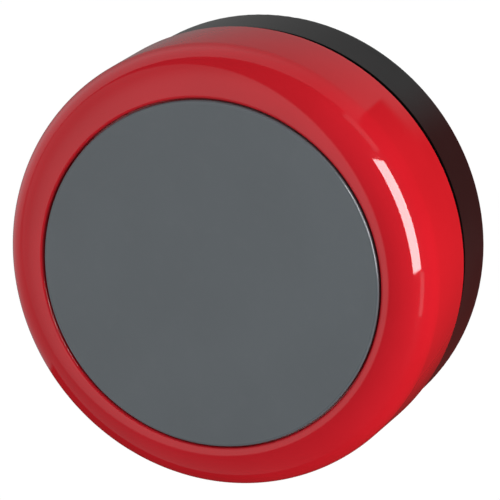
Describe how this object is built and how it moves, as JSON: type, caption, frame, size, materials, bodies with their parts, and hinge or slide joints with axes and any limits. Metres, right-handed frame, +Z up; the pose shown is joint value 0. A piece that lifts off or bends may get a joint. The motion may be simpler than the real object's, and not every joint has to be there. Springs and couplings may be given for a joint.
{
  "type": "quiz buzzer",
  "caption": "Round tabletop quiz buzzer: a big sprung red press cap with a grey label disc on a black base drum with a battery door, sound holes and a slide power switch.",
  "frame": {"origin": "on the table, in the middle of the rubber feet, on the cap's axis", "axes": "+Z up along the cap's axis, against the press; +Y from the batteries towards the speaker; +X towards the power switch"},
  "size_m": [0.09, 0.09, 0.04],
  "materials": {
    "red_gloss": "polished moulded plastic",
    "grey_label": "satin printed plate",
    "black_shell": "fine spark-eroded texture",
    "black_inner": "plain moulded",
    "foot_rubber": "matt",
    "screw_steel": "zinc plated",
    "spring_steel": "drawn wire",
    "contact_nickel": "nickel plated",
    "board_green": "solder mask over glass laminate",
    "chip_epoxy": "cured epoxy",
    "capacitor_sleeve": "shrunk sleeve",
    "resistor_body": "lacquered ceramic",
    "silicone": "translucent silicone",
    "carbon_pill": "conductive carbon rubber",
    "speaker_steel": "zinc plated sheet",
    "magnet": "sintered ferrite and plated cup",
    "cone_film": "formed polyester film",
    "terminal_board": "phenolic paper board",
    "gasket_foam": "closed cell foam",
    "battery_sleeve": "printed sleeve over a steel can",
    "switch_white": "moulded nylon",
    "wire_red": "PVC insulation",
    "wire_black": "PVC insulation"
  },
  "bodies": {
    "housing": {"base_shell": "black_shell", "chassis": "black_inner", "rubber_feet": "foot_rubber", "housing_screws": "screw_steel", "return_springs": "spring_steel", "circuit_board": "board_green", "board_screws": "screw_steel", "sound_chip": "chip_epoxy", "capacitor": "capacitor_sleeve", "transistor": "chip_epoxy", "resistors": "resistor_body", "dome_switch": "silicone", "speaker_basket": "speaker_steel", "speaker_magnet": "magnet", "speaker_cone": "cone_film", "speaker_terminals": "terminal_board", "speaker_gasket": "gasket_foam", "speaker_clips": "screw_steel", "speaker_screws": "screw_steel", "battery_1": "battery_sleeve", "battery_2": "battery_sleeve", "bridge_contact": "contact_nickel", "plus_contact": "contact_nickel", "minus_contact": "contact_nickel", "contact_springs": "contact_nickel", "switch_case": "speaker_steel", "switch_terminals": "contact_nickel", "switch_screws": "screw_steel", "speaker_wires": "wire_red", "battery_wires": "wire_red", "switch_wire": "wire_black"},
    "cap": {"press_cap": "red_gloss", "label_disc": "grey_label", "guide_screws": "screw_steel", "guide_washers": "screw_steel", "contact_pill": "carbon_pill"},
    "door": {"battery_door": "black_shell", "door_screws": "screw_steel"},
    "lever": {"switch_lever": "switch_white"}
  },
  "joints": [
    {"name": "cap_press", "type": "slide", "parent": "housing", "child": "cap", "axis": [0, 0, -1], "range_m": [0, 0.0015], "stiffness_N_per_m": 2000, "springref_m": -0.001, "deforming": ["return_springs", "dome_switch"]},
    {"name": "battery_door_lift", "type": "slide", "parent": "housing", "child": "door", "axis": [0, 0, -1], "range_m": [0, 0.012]},
    {"name": "power_slide", "type": "slide", "parent": "housing", "child": "lever", "axis": [0, 1, 0], "range_m": [0, 0.002]}
  ]
}
